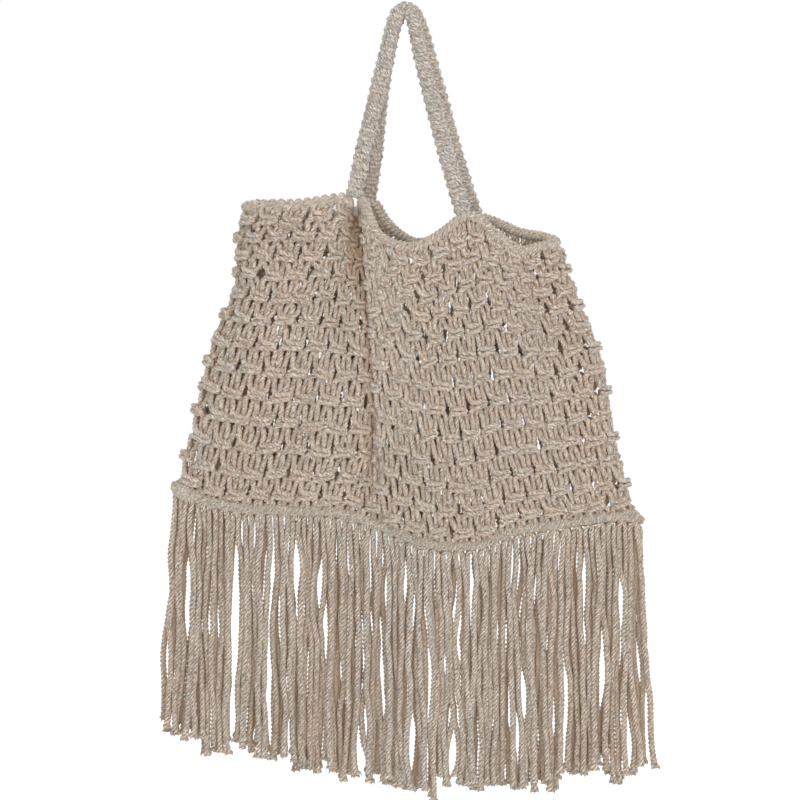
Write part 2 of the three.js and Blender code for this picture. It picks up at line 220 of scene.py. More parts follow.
# A mesh of twisted cords from paths of (x, y, z, radius), with what the cotton reads stored on it
def twistedCords(name, paths, dice, lay=cordLook["lay"], groove=cordLook["groove"], toneSpread=1.0):
    columns = 2 * cordLook["plies"]
    count, longest = len(paths), max(len(p) for p in paths)
    line = np.zeros((count, longest, 3))
    tangent = np.zeros((count, longest, 3))
    radius = np.ones((count, longest))
    turn = np.zeros((count, longest))
    run = np.zeros((count, longest))
    for k, path in enumerate(paths):
        n = len(path)
        line[k, :n], line[k, n:] = path[:, :3], path[-1, :3]
        radius[k, :n] = path[:, 3]
        tangent[k, :n] = unit(np.gradient(path[:, :3], axis=0))
        tangent[k, n:] = tangent[k, n - 1]
        step = np.linalg.norm(np.diff(path[:, :3], axis=0), axis=1)
        run[k, 1:n] = np.cumsum(step)
        turn[k, 1:n] = np.cumsum(np.minimum(2 * math.pi * step / lay, cordLook["mostTurn"]))
    turn += dice.uniform(0, 2 * math.pi, (count, 1))
    normal = np.zeros_like(line)
    level = np.abs(tangent[:, 0, 1:2]) < cordLook["steep"]
    lean = np.where(level, [[0.0, 1.0, 0.0]], [[1.0, 0.0, 0.0]])
    normal[:, 0] = unit(np.cross(tangent[:, 0], lean))
    for i in range(1, longest):
        kept = normal[:, i - 1] - tangent[:, i] * np.sum(normal[:, i - 1] * tangent[:, i], axis=1)[:, None]
        normal[:, i] = unit(kept)
    binormal = np.cross(tangent, normal)
    spoke = 2 * math.pi * np.arange(columns) / columns
    # ply is 1 on the crown of a ply and 0 in the groove between plies; it shapes the cord and tells the
    # cotton where to paint groove shade
    ply = (np.arange(columns) % 2 == 0).astype(float)
    reach = radius[..., None] * (1 - groove * (1 - ply) + cordLook["crown"] * ply)
    angle = turn[..., None] + spoke
    ring = (line[:, :, None] + (reach * np.cos(angle))[..., None] * normal[:, :, None]
            + (reach * np.sin(angle))[..., None] * binormal[:, :, None])
    around = np.stack([np.cos(spoke), np.sin(spoke)], 1) * cordLook["spaceRadius"]
    tone = dice.normal(0, toneSpread, count)
    verts, space, height, tones, faces = [], [], [], [], []
    base = 0
    for k, path in enumerate(paths):
        n = len(path)
        verts += [ring[k, :n].reshape(-1, 3), path[:1, :3], path[-1:, :3]]
        own = np.empty((n, columns, 3))
        own[..., :2] = around
        own[..., 2] = run[k, :n, None] + cordLook["spaceApart"] * k
        space += [own.reshape(-1, 3), own[:1, 0], own[-1:, 0]]
        height += [np.tile(ply, n), [cordLook["endHeight"]] * 2]
        tones.append(np.full(n * columns + 2, tone[k]))
        rings = base + np.arange(n - 1)[:, None] * columns
        here = rings + np.arange(columns)
        beside = rings + (np.arange(columns) + 1) % columns
        faces += np.stack([here, beside, beside + columns, here + columns], -1).reshape(-1, 4).tolist()
        first, last = base + n * columns, base + n * columns + 1
        end = base + (n - 1) * columns
        for c in range(columns):
            d = (c + 1) % columns
            faces.append((first, base + d, base + c))
            faces.append((last, end + c, end + d))
        base += n * columns + 2
    mesh = bpy.data.meshes.new(name)
    mesh.from_pydata((np.vstack(verts) * mm).tolist(), [], faces)
    for label, kind, field, data in (
            ("cordSpace", "FLOAT_VECTOR", "vector", np.vstack(space).ravel()),
            ("plyHeight", "FLOAT", "value", np.concatenate(height)),
            ("cordTone", "FLOAT", "value", np.concatenate(tones))):
        mesh.attributes.new(label, kind, "POINT").data.foreach_set(field, data)
    mesh.shade_smooth()
    mesh.update()
    return mesh


def addPiece(name, mesh, material, node):
    mesh.materials.append(material)
    piece = bpy.data.objects.new(name, mesh)
    bpy.context.collection.objects.link(piece)
    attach(piece, "root")
    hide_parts(node)
    triangles = sum(len(p.vertices) - 2 for p in mesh.polygons)
    print("made", name, triangles, "triangles")


# Cotton: colour by cord and in soft patches, with fibres along the plies. Painted shade darkens the grooves
# between the plies and the sheltered places; on the rim, sheltered places get painted light instead
cotton = {
    # groove is a painted shade for the valleys between the plies; grooveEdge is how far up a ply it reaches
    "body": (0.385, 0.324, 0.267), "groove": (0.29, 0.228, 0.172), "grooveEdge": 0.55,
    "warm": (1.06, 1.02, 0.98), "cool": (1.05, 1.11, 1.17),  # no two cords took the dye alike
    "toneReach": 2.2,
    # painted shade and painted light where little light comes, by how much open sky a place sees: 'deep' is
    # a warm brown painted shade between cords, 'open' a painted light that lightens the sheltered rim,
    # 'dim' a darker painted shade in the fringe.
    # Columns: colour, share of open sky where it starts
    "deep": ((0.50, 0.31, 0.175), 0.5),
    "open": ((0.76, 0.64, 0.52), 0.68),
    "dim": ((0.41, 0.275, 0.165), 0.5),
    "shelterReach": 0.05, "shelterEnd": 0.08, "shelterSamples": 4,
    "fibreStretch": (1.0, 1.0, 0.8), "fibreScale": 0.7, "fibreDetail": 2, "fibreRoughness": 0.6,
    "streak": 3.2, "streakMiddle": 1.67,  # how strongly the fibres show in the colour
    "patchScale": 26, "patchDetail": 3, "patchSpread": 0.22, "patchBase": 0.89,
    "bump": 0.9, "bumpDepth": 0.0010,
    "roughness": 0.92, "specular": 0.15, "sheen": 0.25, "sheenRoughness": 0.6,
    "glow": 0.45, "glowReach": (0.0030, 0.0019, 0.0012),  # light that soaks through the soft plies
}


def cottonMaterial(name, shade=(1, 1, 1), plyShade=1.0, sheltered=cotton["deep"]):
    material = bpy.data.materials.new(name)
    material.use_nodes = True
    nodes, links = material.node_tree.nodes, material.node_tree.links
    shader = nodes["Principled BSDF"]

    def node(kind, **settings):
        made = nodes.new(kind)
        for key, value in settings.items():
            setattr(made, key, value)
        return made

    def tint(colour, more=1.0):
        return tuple(s * more * c for s, c in zip(shade, colour)) + (1,)

    space = node("ShaderNodeAttribute", attribute_name="cordSpace")
    ply = node("ShaderNodeAttribute", attribute_name="plyHeight")
    tone = node("ShaderNodeAttribute", attribute_name="cordTone")
    stretch = node("ShaderNodeMapping")
    stretch.inputs["Scale"].default_value = cotton["fibreStretch"]
    links.new(space.outputs["Vector"], stretch.inputs["Vector"])
    fibres = node("ShaderNodeTexNoise")
    fibres.inputs["Scale"].default_value = cotton["fibreScale"]
    fibres.inputs["Detail"].default_value = cotton["fibreDetail"]
    fibres.inputs["Roughness"].default_value = cotton["fibreRoughness"]
    links.new(stretch.outputs["Vector"], fibres.inputs["Vector"])
    place = node("ShaderNodeTexCoord")
    patches = node("ShaderNodeTexNoise")
    patches.inputs["Scale"].default_value = cotton["patchScale"]
    patches.inputs["Detail"].default_value = cotton["patchDetail"]
    links.new(place.outputs["Object"], patches.inputs["Vector"])

    # painted shade in the ply grooves: the groove colour, darkened further by plyShade, where plyHeight is
    # low
    paintedGrooveShade = node("ShaderNodeValToRGB")
    paintedGrooveShade.color_ramp.elements[0].color = tint(cotton["groove"], plyShade)
    paintedGrooveShade.color_ramp.elements[1].position = cotton["grooveEdge"]
    paintedGrooveShade.color_ramp.elements[1].color = tint(cotton["body"])
    links.new(ply.outputs["Fac"], paintedGrooveShade.inputs["Fac"])
    toneShare = node("ShaderNodeMapRange")
    toneShare.inputs["From Min"].default_value = -cotton["toneReach"]
    toneShare.inputs["From Max"].default_value = cotton["toneReach"]
    links.new(tone.outputs["Fac"], toneShare.inputs["Value"])
    dyes = node("ShaderNodeMix", data_type="RGBA")
    dyes.inputs["A"].default_value = cotton["warm"] + (1,)
    dyes.inputs["B"].default_value = cotton["cool"] + (1,)
    links.new(toneShare.outputs["Result"], dyes.inputs["Factor"])
    byCord = node("ShaderNodeMix", data_type="RGBA", blend_type="MULTIPLY")
    byCord.inputs["Factor"].default_value = 1
    links.new(paintedGrooveShade.outputs["Color"], byCord.inputs["A"])
    links.new(dyes.outputs["Result"], byCord.inputs["B"])
    spread = node("ShaderNodeMath", operation="MULTIPLY_ADD")
    spread.inputs[1].default_value = cotton["patchSpread"]
    spread.inputs[2].default_value = cotton["patchBase"]
    links.new(patches.outputs["Fac"], spread.inputs[0])
    streak = node("ShaderNodeMath", operation="MULTIPLY_ADD")
    streak.inputs[1].default_value = cotton["streak"]
    links.new(fibres.outputs["Fac"], streak.inputs[0])
    links.new(spread.outputs["Value"], streak.inputs[2])
    lighten = node("ShaderNodeMath", operation="SUBTRACT")
    lighten.inputs[1].default_value = cotton["streakMiddle"]
    links.new(streak.outputs["Value"], lighten.inputs[0])
    worn = node("ShaderNodeMix", data_type="RGBA", blend_type="MULTIPLY")
    worn.inputs["Factor"].default_value = 1
    links.new(byCord.outputs["Result"], worn.inputs["A"])
    links.new(lighten.outputs["Value"], worn.inputs["B"])
    # painted shade and light: places that see little open sky within shelterReach are mixed towards the
    # sheltered colour
    shelter = node("ShaderNodeAmbientOcclusion", samples=cotton["shelterSamples"])
    shelter.inputs["Distance"].default_value = cotton["shelterReach"]
    deepColour, deepFrom = sheltered
    deep = node("ShaderNodeMapRange")
    deep.inputs["From Min"].default_value = deepFrom
    deep.inputs["From Max"].default_value = cotton["shelterEnd"]
    links.new(shelter.outputs["AO"], deep.inputs["Value"])
    paintedShadeMix = node("ShaderNodeMix", data_type="RGBA")
    paintedShadeMix.inputs["B"].default_value = tint(deepColour)
    links.new(deep.outputs["Result"], paintedShadeMix.inputs["Factor"])
    links.new(worn.outputs["Result"], paintedShadeMix.inputs["A"])
    links.new(paintedShadeMix.outputs["Result"], shader.inputs["Base Color"])

    bump = node("ShaderNodeBump")
    bump.inputs["Strength"].default_value = cotton["bump"]
    bump.inputs["Distance"].default_value = cotton["bumpDepth"]
    links.new(fibres.outputs["Fac"], bump.inputs["Height"])
    links.new(bump.outputs["Normal"], shader.inputs["Normal"])
    shader.inputs["Roughness"].default_value = cotton["roughness"]
    shader.inputs["Sheen Weight"].default_value = cotton["sheen"]
    shader.inputs["Sheen Roughness"].default_value = cotton["sheenRoughness"]
    shader.inputs["Subsurface Weight"].default_value = cotton["glow"]
    shader.inputs["Subsurface Radius"].default_value = cotton["glowReach"]
    shader.inputs["Subsurface Scale"].default_value = 1
    shader.inputs["Specular IOR Level"].default_value = cotton["specular"]
    return material


netCotton = cottonMaterial("netCotton", (1.01, 1.02, 1.03))
# sheltered places on the rim take painted light, a colour lighter than the cotton
rimCotton = cottonMaterial("rimCotton", (0.95, 0.96, 0.97), 1.0, cotton["open"])
handleCotton = cottonMaterial("handleCotton", (0.955, 1.01, 1.075))
barCotton = cottonMaterial("barCotton", (0.945, 0.96, 0.965))
# the fringe gets a darker painted shade in its ply grooves and between its strands
fringeCotton = cottonMaterial("fringeCotton", (1.135, 1.14, 1.15), 0.5, cotton["dim"])

# One square knot of four cords, two of them cores. Columns: cords across, mm down, mm out.
squareKnot = {
    "left": [
        (-1.44, -7.4, 0.3), (-1.34, -5.2, 0.8), (-1.20, -3.4, 1.8), (-0.60, -2.2, 2.6), (0.50, -2.0, 2.7),
        (1.25, -1.7, 2.3), (1.50, -0.2, 1.5), (1.25, 1.5, 2.2), (0.50, 2.0, 2.7), (-0.60, 2.2, 2.6),
        (-1.25, 2.7, 2.0), (-1.50, 4.7, 0.9), (-1.50, 7.4, 0.3)],
    "right": [
        (1.44, -7.4, 0.3), (1.36, -5.2, 1.0), (1.40, -3.2, 1.6), (1.20, -1.4, -0.8), (0.30, -1.2, -2.8),
        (-0.70, -0.9, -2.6), (-1.38, -0.5, 0.8), (-1.51, 0.3, 2.0), (-1.42, 1.4, 1.2), (-0.70, 2.0, -2.2),
        (0.20, 2.2, -2.8), (1.00, 2.7, -1.0), (1.48, 4.5, 0.6), (1.50, 7.4, 0.3)],
    "core": [(0.52, -7.4, 0.3), (0.46, -4.6, 0.2), (0.43, 0, 0), (0.46, 4.6, 0.1), (0.50, 7.4, 0.3)],
}
# The same knot packed tight and level, as in a handle
tightKnot = {
    "left": [
        (-1.08, -6.2, 0.3), (-1.12, -4.8, 1.7), (-0.75, -3.4, 3.0), (0.30, -3.1, 3.3), (1.08, -2.6, 2.7),
        (1.44, -1.2, 1.6), (1.48, 0.0, 1.2), (1.42, 1.2, 1.5), (1.05, 2.6, 2.6), (0.25, 3.1, 3.3),
        (-0.72, 3.3, 3.0), (-1.10, 4.7, 1.6), (-1.08, 6.2, 0.3)],
    "right": [
        (1.08, -6.2, 0.3), (1.14, -4.6, 1.8), (1.22, -3.0, 1.6), (1.00, -2.0, -1.4), (0.30, -2.6, -3.4),
        (-0.70, -2.2, -3.2), (-1.32, -1.4, 0.3), (-1.48, 0.0, 2.0), (-1.36, 1.4, 1.0), (-0.75, 2.9, -3.0),
        (0.20, 3.2, -3.4), (0.95, 3.5, -2.4), (1.12, 4.6, 0.6), (1.08, 6.2, 0.3)],
    "core": [(0.45, -6.2, 0.3), (0.43, -1.5, 0), (0.43, 1.5, 0), (0.45, 6.2, 0.3)],
}
knotReach = 7.4
tightReach = 6.2


def cordsOf(knot):
    mirrored = [(-across, down, out) for across, down, out in knot["core"]]
    return [np.array(cord) for cord in (knot["left"], mirrored, knot["core"], knot["right"])]


netKnot = cordsOf(squareKnot)
handleKnot = cordsOf(tightKnot)

# The knotted net
netCords = {
    "cordRadius": 2.62,
    "legs": 1.03, "backLegs": 0.9, "bars": 1.07,  # shares of that between knots, behind, and across knots
    "fullPitch": 19.5, "thinnest": 0.76,  # cords are thinner where knots stand closer than so many mm
    # rows of knots from the rim to the bars, as shares of the fall
    "rows": [0.050, 0.104, 0.163, 0.229, 0.300, 0.376, 0.457, 0.540, 0.625, 0.710, 0.795, 0.880, 0.952],
    "topFall": 0.012, "footFall": 0.995,  # where the cords start and end
    "topEdge": 0.01, "footEdge": 0.003,  # shares of the fall that the first and the last row stay clear of
    # the back hangs half a row lower than the front and a little to one side. Columns: fall, share
    "backShare": [(0, 0), (0.1, 0.7), (0.2, 1), (0.84, 1), (0.97, 0.3), (1, 0)],
    "backDown": 0.042, "backAside": 0.25, "backFade": 3,
    "pairLean": 0.9,  # one cord of each pair lies in front of the other
    # how far the two cores draw together under a knot, and the outer cords move out. Columns: knot, cords
    "pairDraw": [(0, 0.3), (7, 0.3), (11, 0.22), (20, 0.24), (23, 0.26), (37, 0.26), (40, 0.3)],
    "drawFrom": 4, "drawLeft": 0.35,  # mm below the knot's middle, and the share left at its end
    "square": 0.6, "squareMost": 0.28,  # knots sit square to their cords where a row slopes
    "slopeProbe": (0.4, 0.02), "pitchProbe": 0.25,
    "sideSwell": 1.0, "sideReach": 1.4,  # knots bulge out where the net folds at its sides
    # how much narrower the knots near the rim are pulled. Columns: knot, share
    "drawIn": [(0, 0.05), (8.5, 0.05), (9.5, 0.17), (13, 0.13), (15, 0.06), (20, 0.04), (40, 0.04)],
    "drawInFade": [(0, 1), (0.35, 1), (0.6, 0)],  # fall, share left
    "seenStep": 2.4, "hiddenStep": 5.0, "coreStep": 6.0, "perSpan": 5,
    "hiddenBelow": -0.6, "barAbove": 1,  # mm out where a cord counts as hidden, or as lying across the knot
    "knotPitch": 20.0, "cordPitch": 5,
    "jitterAcross": 0.05, "jitterDown": 0.9, "tilt": 0.13,
    "puff": 0.16, "puffMost": 1.5, "puffOut": 0.6, "puffWide": 0.05,
}


def netPaths(dice):
    rows = np.array(netCords["rows"])
    spots = 2 * knotsRound
    shift = dice.normal(0, 1, (len(rows), spots, 4))
    homes = (np.arange(cordsPerKnot * knotsRound) + 0.5) / cordsPerKnot
    lengths = np.linalg.norm(netPoint(homes, 1.0) - netPoint(homes, 0.0), axis=1)
    spotKnot, spotFall = np.meshgrid(np.arange(spots) / 2, rows)
    aside, under = netCords["slopeProbe"]
    alongRow = (netPoint(spotKnot + aside, spotFall) - netPoint(spotKnot - aside, spotFall)) / (2 * aside)
    downCord = (netPoint(spotKnot, spotFall + under) - netPoint(spotKnot, spotFall - under)) / (2 * under)
    slope = np.sum(alongRow * downCord, axis=-1) / np.sum(downCord ** 2, axis=-1)
    above = np.diff(rows, prepend=2 * netCords["topEdge"] - rows[0])
    below = np.diff(rows, append=2 - rows[-1] - 2 * netCords["footEdge"])
    paths = []
    for cord, home in enumerate(homes.tolist()):
        length = lengths[cord]
        fromSide = min(abs(home - knotsRound / 2), abs(home - knotsRound))
        fromFold = min(fromSide, home)
        behind = min(fromSide / netCords["backFade"], 1) if home > knotsRound / 2 else 0
        legs = netCords["backLegs"] if behind == 1 else netCords["legs"]
        pairDraw = fromTable(netCords["pairDraw"], home)
        drawIn = fromTable(netCords["drawIn"], home)
        points = [(home, netCords["topFall"], 0.0, netCords["seenStep"], 1.0)]
        for row, fall in enumerate(rows):
            place = (cord - 2 * (row % 2)) % cordsPerKnot
            core = place in (1, 2)
            middle = home - (place - 1.5) / cordsPerKnot
            spot = int(round(middle * 2)) % spots
            across, lower, tilt, puff = shift[row, spot]
            most = netCords["squareMost"] * min(above[row], below[row])
            upRoom = min(1, 0.5 * above[row] * length / knotReach)
            downRoom = min(1, 0.5 * below[row] * length / knotReach)
            puffed = np.clip(puff, -netCords["puffMost"], netCords["puffMost"])
            size = 1 + netCords["puff"] * puffed * netCords["puffOut"]
            size += netCords["sideSwell"] * max(1 - fromFold / netCords["sideReach"], 0)
            narrow = drawIn * fromTable(netCords["drawInFade"], fall)
            share = behind * fromTable(netCords["backShare"], fall)
            for a, d, o in netKnot[place]:
                leg = abs(d) == knotReach
                room = upRoom if d < 0 else downRoom
                inside = 1 - (abs(d) / knotReach) ** 2  # the ends stay where the next knots expect them
                wide = a * (1 + (netCords["puffWide"] * puff - narrow) * inside)
                moved = netCords["jitterAcross"] * cordsPerKnot * across * inside
                knot = middle + (wide + moved) / cordsPerKnot
                knot += netCords["backAside"] * share
                if d > netCords["drawFrom"]:
                    draw = pairDraw * (netCords["drawLeft"] if leg else 1)
                    outward = -1 if core else 1
                    knot += draw / cordsPerKnot * outward * math.copysign(1, a)
                lean = netCords["tilt"] * tilt * a * netCords["cordPitch"]
                drop = d * room + inside * (netCords["jitterDown"] * lower + lean)
                hang = fall + netCords["backDown"] * share + drop / length
                hang -= np.clip(a / cordsPerKnot * slope[row, spot] * netCords["square"], -most, most)
                out = o + netCords["pairLean"] * (1 - 2 * (cord % 2)) if leg else o * size
                step = netCords["seenStep"] if o > netCords["hiddenBelow"] else netCords["hiddenStep"]
                if core and not leg:
                    step = netCords["coreStep"]
                swell = netCords["bars"] if o > netCords["barAbove"] and not leg else legs
                points.append((knot, hang, out, step, swell))
        points.append((home, netCords["footFall"], 0.0, netCords["seenStep"], 1.0))
        flat = np.array(points) * (netCords["knotPitch"], length, 1.0, 1.0, 1.0)
        fine = curveThrough(flat, netCords["perSpan"])
        knot, fall = fine[:, 0] / netCords["knotPitch"], fine[:, 1] / length
        probe = netCords["pitchProbe"]
        pitch = netPoint(knot + probe, fall) - netPoint(knot - probe, fall)
        pitch = np.linalg.norm(pitch, axis=1) / (2 * probe)
        squeeze = np.clip(pitch / netCords["fullPitch"], netCords["thinnest"], 1.0)
        radius = netCords["cordRadius"] * squeeze * fine[:, 4]
        step = np.clip(fine[:, 3], netCords["seenStep"], netCords["coreStep"])
        paths.append(evenSteps(onNet(knot, fall, fine[:, 2]), radius, step))
    return paths


dice = np.random.default_rng(20)
cords = netPaths(dice)
half = len(cords) // 2
addPiece("netFront", twistedCords("netFront", cords[:half], dice), netCotton, "net_front")
addPiece("netBack", twistedCords("netBack", cords[half:], dice), netCotton, "net_back")

# The rim: a core cord wrapped closely all the way round
rim = {
    "cordRadius": 2.05, "reach": 2.65, "uneven": 0.14, "step": 1.4, "groove": 0.12, "lay": 10,
    "core": 2.4, "coreStep": 2.5, "samples": 5000,
    # knot, mm from one wrap to the next
    "wraps": [(0, 7.4), (4.4, 7.4), (6, 3.9), (38, 3.9), (40, 7.4)],
    "closeWrap": 3.6, "thicken": 0.6,  # wider wraps are of thicker cord
}


def rimPaths(dice):
    knot = np.linspace(0, knotsRound, rim["samples"])
    middle = rimLine(knot)
    length = np.concatenate([[0], np.linalg.norm(np.diff(middle, axis=0), axis=1)])
    apart = fromTable(rim["wraps"], knot)
    turn = np.cumsum(length / apart)
    turn *= round(turn[-1]) / turn[-1]
    wraps = int(turn[-1]) + 2
    uneven = np.interp(turn, np.arange(wraps), dice.normal(0, rim["uneven"], wraps))
    reach = (rim["reach"] + uneven)[:, None]
    _, down, out = netFrame(knot, 0.0)
    angle = 2 * math.pi * turn[:, None]
    coil = middle + reach * (np.cos(angle) * out - np.sin(angle) * down)
    radius = rim["cordRadius"] * (apart / rim["closeWrap"]) ** rim["thicken"]
    return [evenSteps(coil, radius, rim["step"]), evenSteps(middle, rim["core"], rim["coreStep"])]


mesh = twistedCords("rimWraps", rimPaths(dice), dice, rim["lay"], rim["groove"], cordLook["evenTone"])
addPiece("rimWraps", mesh, rimCotton, "rim_cord")

# The handles: a flat row of square knots from the rim over the top and back
handles = {
    "cordRadius": 2.45, "knotLength": 7.3, "width": 15.2, "topWidth": 12.8, "topShare": 0.24,
    "outShare": 0.42, "step": 1.4, "coreStep": 4.0, "lay": 11, "groove": 0.06,
    "slip": 0.25, "uneven": 0.03, "lift": 0.06,  # how much knots differ along, across and out
    "edgeCord": 1.36, "cordPitch": 3.4,  # cords from the middle to the edge, and mm for each in the curves
    "lineSpan": 60, "cordSpan": 4,
    # x, y, z of the middle line
    "front": [(-42, -16, -149.5), (-33, -13, -107), (-23.7, -10, -69), (-14.3, -6, -29), (-7.6, -4, -2.5),
              (-2.8, -3.6, 5.6), (3.6, -3.6, 5.6), (7.4, -4, -2.5), (13, -6, -27.5), (23.5, -11, -69),
              (35.5, -17, -114.5), (49.5, -23.6, -162.5)],
    "back": [(-31, 27, -155), (-24.5, 17, -110), (-20.5, 10, -69), (-13.5, 5.5, -29), (-6.2, 3.8, -2.5),
             (0.2, 3.6, 5.6), (7.0, 3.6, 5.2), (11.8, 3.8, -2.5), (19.3, 5.5, -27.5), (30.5, 9.5, -69),
             (43.5, 17, -116), (60, 26, -167.5)],
}


def handlePaths(turns, faceOut, dice):
    middle = curveThrough(turns, handles["lineSpan"])
    run = lengthAlong(middle)
    total = run[-1]
    along = unit(np.gradient(middle, axis=0))
    wide = unit(np.cross(along, [0.0, 1.0, 0.0]))
    thick = np.cross(along, wide) * faceOut

    def at(s, table):
        return np.column_stack([np.interp(s, run, table[:, k]) for k in range(3)])

    knots = int(round(total / handles["knotLength"]))
    length = total / knots
    paths = []
    for role in range(cordsPerKnot):
        rows = []
        for k in range(knots):
            wobble = dice.normal(0, 1, 3)
            for a, d, o in handleKnot[role]:
                if rows and d == -tightReach:
                    continue  # the knot before ends there
                inside = 1 - (abs(d) / tightReach) ** 2
                s = (k + 0.5) * length + d * length / (2 * tightReach)
                s += handles["slip"] * wobble[0] * inside
                across = a * (1 + handles["uneven"] * wobble[1] * inside)
                rows.append((s, across, o * (1 + handles["lift"] * wobble[2])))
        rows = np.array(rows)
        rows[:, 1] *= -faceOut
        scale = (1, handles["cordPitch"], 1)
        fine = curveThrough(rows * scale, handles["cordSpan"]) / scale
        s = np.clip(fine[:, 0], 0, total)
        nearTop = 1 - np.minimum(np.abs(s / total - 0.5) / handles["topShare"], 1)
        halfWidth = 0.5 * (handles["width"] + (handles["topWidth"] - handles["width"]) * nearTop)
        unitWide = (halfWidth - handles["cordRadius"]) / handles["edgeCord"]
        line = (at(s, middle) + at(s, wide) * (fine[:, 1] * unitWide)[:, None]
                + at(s, thick) * (fine[:, 2] * handles["outShare"])[:, None])
        step = handles["step"] if role in (0, 3) else handles["coreStep"]
        paths.append(evenSteps(line, handles["cordRadius"], step))
    return paths


for side, faceOut in (("front", -1), ("back", 1)):
    mesh = twistedCords("handle" + side.title(), handlePaths(handles[side], faceOut, dice), dice,
                        handles["lay"], handles["groove"], cordLook["evenTone"])
    addPiece("handle" + side.title(), mesh, handleCotton, "handle_" + side)

# The bottom bars: a core hitched over closely by the cords of the net
bars = {
    "turns": 176, "perTurn": 14, "reach": 2.9, "cordRadius": 2.0, "step": 1.6, "lay": 9, "groove": 0.05,
    "uneven": 0.12, "swing": 0.12, "swingRate": 1.7,
    "core": 2.2, "coreStep": 4.0, "coreInset": 20,  # samples left off at both ends
    # share of the length, size of the wraps towards the left and the right end
    "knob": [(0, 0.3, 0.3), (0.006, 1.2, 0.9), (0.016, 1.85, 1.25), (0.03, 1.95, 1.3), (0.045, 1.5, 1.15),
             (0.062, 1.05, 1), (1, 1, 1)],
}


def barPaths(side, dice):
    share = np.linspace(0, 1, bars["turns"] * bars["perTurn"])
    middle = barPoint(share * net["knotsAcross"], side)
    along = unit(np.gradient(middle, axis=0))
    up = unit(np.cross(along, [0.0, 1.0, 0.0]))
    out = np.cross(along, up)
    turn = share * bars["turns"]
    wraps = bars["turns"] + 1
    uneven = np.interp(turn, np.arange(wraps), dice.normal(0, bars["uneven"], wraps))
    reach = bars["reach"] * fromTable(bars["knob"], share) * fromTable(bars["knob"], 1 - share, 2)
    reach = reach + bars["swing"] * np.sin(turn * bars["swingRate"]) + uneven
    angle = 2 * math.pi * turn
    coil = middle + reach[:, None] * (np.cos(angle)[:, None] * up + np.sin(angle)[:, None] * out)
    core = middle[bars["coreInset"]:-bars["coreInset"]]
    return [evenSteps(coil, bars["cordRadius"], bars["step"]),
            evenSteps(core, bars["core"], bars["coreStep"])]


for side, y in (("Front", -1), ("Back", 1)):
    mesh = twistedCords("bar" + side, barPaths(y, dice), dice,
                        bars["lay"], bars["groove"], cordLook["evenTone"])
    addPiece("bar" + side, mesh, barCotton, "bottom_bar_" + side.lower())

# The fringe: free cord ends under the bars
fringe = {
    "strands": 80, "cordRadius": 2.9, "uneven": 0.03, "step": 2.1, "lay": 15, "groove": 0.23,
    "upperStops": (0, 0.05), "evenFrom": 0.12, "stops": 15, "perSpan": 12,
    "growRate": 6, "sway": -1.6, "layers": 3, "layer": 1.8,
    "wander": 0.85, "wanderMost": 1.8, "wanderRate": 14, "deepMost": 5,
    "flare": 0.3, "flareReach": 8,
    "neck": 0.17, "neckReach": 75,  # the strands are pulled thin under the bar
    # how far below the middle of the bar the arches sit. Columns: knot, mm
    "archDrop": [(0, 5.5), (9, 6.0), (12, 7.2), (20, 7.4)], "archRise": 2.4,
    # clumps that the strands hang in. Columns: mm across, mm down, strength
    "clumps": [(19, 120, 0.6), (31, -150, 0.8), (53, 200, 0.6), (118, -330, 0.6)],
    # places where the fringe parts. Columns: x, upper z, lower z, half the width
    "partings": [
        (-204, -535, -559, 1.3), (-186, -467, -507, 1.7), (-147, -584, -615, 1.7), (-144, -444, -565, 3.8),
        (-126, -424, -443, 1.7), (-90, -448, -474, 1.7), (-74, -477, -494, 1.3), (-54, -553, -573, 1.3),
        (-49, -443, -462, 1.3), (-38, -616, -640, 1.7), (-33, -591, -616, 1.7), (-15, -474, -507, 1.3),
        (7, -607, -636, 2.1), (39, -594, -612, 1.7), (42, -616, -638, 3.8), (90, -560, -594, 1.2),
        (104, -572, -588, 1.7), (128, -588, -609, 1.0), (139, -561, -598, 1.0), (169, -522, -574, 1.7),
        (187, -489, -510, 1.7), (195, -618, -640, 1.7)],
    "partReach": 5.5, "partShare": 0.45, "partEase": 16, "partCurve": 0.7, "partCross": 3,
    # x, z of the lower edge
    "tips": [(-209, -606), (-184, -613), (-168, -626), (-138, -617), (-125, -628), (-100, -629),
             (-88, -640), (-58, -642), (-52, -650), (-14, -651), (-8, -653), (0, -653), (10, -661),
             (25, -664), (30, -645), (40, -653), (56, -657), (74, -649), (82, -655), (132, -657),
             (140, -646), (152, -645), (160, -638), (174, -638), (184, -655), (194, -654), (200, -646),
             (208, -640), (213, -636)],
    "ragged": 4.8, "raggedMost": (-1.2, 1.4),
}


